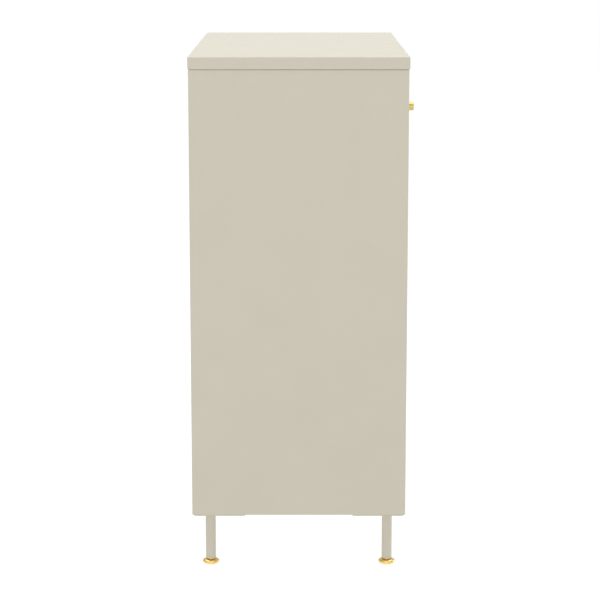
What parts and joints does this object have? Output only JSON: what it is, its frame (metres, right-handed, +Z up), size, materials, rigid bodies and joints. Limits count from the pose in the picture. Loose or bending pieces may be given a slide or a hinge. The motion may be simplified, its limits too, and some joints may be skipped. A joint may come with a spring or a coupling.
{
  "type": "filing cabinet",
  "caption": "Wide, shallow sheet-steel filing cabinet on short tube legs, with two small drawers over two file drawers, round gold knobs and levelling feet.",
  "frame": {"origin": "on the ground, at the middle of the box that holds the whole cabinet with its knobs", "axes": "+Z up; the drawers open towards -Y; +X is to the right of a person who faces the drawers"},
  "size_m": [0.803, 0.4208, 0.96],
  "materials": {
    "cream_paint": "satin powder coat, fine orange peel",
    "gold_metal": "polished, lacquered",
    "slide_steel": "bright zinc plated",
    "bar_steel": "zinc plated strip",
    "fastener_steel": "nickel plated screws, nuts and balls",
    "bumper_rubber": "matte moulded rubber"
  },
  "bodies": {
    "cabinet": {"lid": "cream_paint", "side_panel_left": "cream_paint", "side_panel_right": "cream_paint", "bottom_panel": "cream_paint", "back_panel": "cream_paint", "top_front_rail": "cream_paint", "upper_cross_rail": "cream_paint", "middle_cross_rail": "cream_paint", "centre_divider": "cream_paint", "outer_slide_file_lower_left": "slide_steel", "outer_slide_file_lower_right": "slide_steel", "outer_slide_file_upper_left": "slide_steel", "outer_slide_file_upper_right": "slide_steel", "outer_slide_top_left_left": "slide_steel", "outer_slide_top_left_right": "slide_steel", "outer_slide_top_right_left": "slide_steel", "outer_slide_top_right_right": "slide_steel", "leg_front_left": "cream_paint", "leg_front_right": "cream_paint", "leg_back_left": "cream_paint", "leg_back_right": "cream_paint"},
    "drawer_file_lower": {"drawer_front_file_lower": "cream_paint", "drawer_tray_file_lower": "cream_paint", "knob_file_lower": "gold_metal", "inner_slide_file_lower_left": "slide_steel", "inner_slide_file_lower_right": "slide_steel", "hanging_bar_file_lower_front": "bar_steel", "hanging_bar_file_lower_back": "bar_steel"},
    "middle_slides_file_lower": {"middle_slide_file_lower_left": "slide_steel", "middle_slide_file_lower_right": "slide_steel"},
    "drawer_file_upper": {"drawer_front_file_upper": "cream_paint", "drawer_tray_file_upper": "cream_paint", "knob_file_upper": "gold_metal", "inner_slide_file_upper_left": "slide_steel", "inner_slide_file_upper_right": "slide_steel", "hanging_bar_file_upper_front": "bar_steel", "hanging_bar_file_upper_back": "bar_steel"},
    "middle_slides_file_upper": {"middle_slide_file_upper_left": "slide_steel", "middle_slide_file_upper_right": "slide_steel"},
    "drawer_top_left": {"drawer_front_top_left": "cream_paint", "drawer_tray_top_left": "cream_paint", "knob_top_left": "gold_metal", "inner_slide_top_left_left": "slide_steel", "inner_slide_top_left_right": "slide_steel"},
    "middle_slides_top_left": {"middle_slide_top_left_left": "slide_steel", "middle_slide_top_left_right": "slide_steel"},
    "drawer_top_right": {"drawer_front_top_right": "cream_paint", "drawer_tray_top_right": "cream_paint", "knob_top_right": "gold_metal", "inner_slide_top_right_left": "slide_steel", "inner_slide_top_right_right": "slide_steel"},
    "middle_slides_top_right": {"middle_slide_top_right_left": "slide_steel", "middle_slide_top_right_right": "slide_steel"},
    "levelling_foot_front_left": {"foot_front_left": "gold_metal"},
    "levelling_foot_front_right": {"foot_front_right": "gold_metal"},
    "levelling_foot_back_left": {"foot_back_left": "gold_metal"},
    "levelling_foot_back_right": {"foot_back_right": "gold_metal"}
  },
  "joints": [
    {"name": "file_lower_pull", "type": "slide", "parent": "cabinet", "child": "drawer_file_lower", "axis": [0, -1, 0], "range_m": [0, 0.34]},
    {"name": "file_upper_pull", "type": "slide", "parent": "cabinet", "child": "drawer_file_upper", "axis": [0, -1, 0], "range_m": [0, 0.34]},
    {"name": "top_left_pull", "type": "slide", "parent": "cabinet", "child": "drawer_top_left", "axis": [0, -1, 0], "range_m": [0, 0.34]},
    {"name": "top_right_pull", "type": "slide", "parent": "cabinet", "child": "drawer_top_right", "axis": [0, -1, 0], "range_m": [0, 0.34]},
    {"name": "file_lower_middle_slides", "type": "slide", "parent": "cabinet", "child": "middle_slides_file_lower", "axis": [0, -1, 0], "range_m": [0, 0.17]},
    {"name": "file_upper_middle_slides", "type": "slide", "parent": "cabinet", "child": "middle_slides_file_upper", "axis": [0, -1, 0], "range_m": [0, 0.17]},
    {"name": "top_left_middle_slides", "type": "slide", "parent": "cabinet", "child": "middle_slides_top_left", "axis": [0, -1, 0], "range_m": [0, 0.17]},
    {"name": "top_right_middle_slides", "type": "slide", "parent": "cabinet", "child": "middle_slides_top_right", "axis": [0, -1, 0], "range_m": [0, 0.17]},
    {"name": "foot_screw_front_left", "type": "slide", "parent": "cabinet", "child": "levelling_foot_front_left", "axis": [0, 0, -1], "range_m": [0, 0.012]},
    {"name": "foot_screw_front_right", "type": "slide", "parent": "cabinet", "child": "levelling_foot_front_right", "axis": [0, 0, -1], "range_m": [0, 0.012]},
    {"name": "foot_screw_back_left", "type": "slide", "parent": "cabinet", "child": "levelling_foot_back_left", "axis": [0, 0, -1], "range_m": [0, 0.012]},
    {"name": "foot_screw_back_right", "type": "slide", "parent": "cabinet", "child": "levelling_foot_back_right", "axis": [0, 0, -1], "range_m": [0, 0.012]}
  ],
  "couplings": [
    {"joint": "file_lower_middle_slides", "follows": "file_lower_pull", "ratio": 0.5},
    {"joint": "file_upper_middle_slides", "follows": "file_upper_pull", "ratio": 0.5},
    {"joint": "top_left_middle_slides", "follows": "top_left_pull", "ratio": 0.5},
    {"joint": "top_right_middle_slides", "follows": "top_right_pull", "ratio": 0.5}
  ]
}
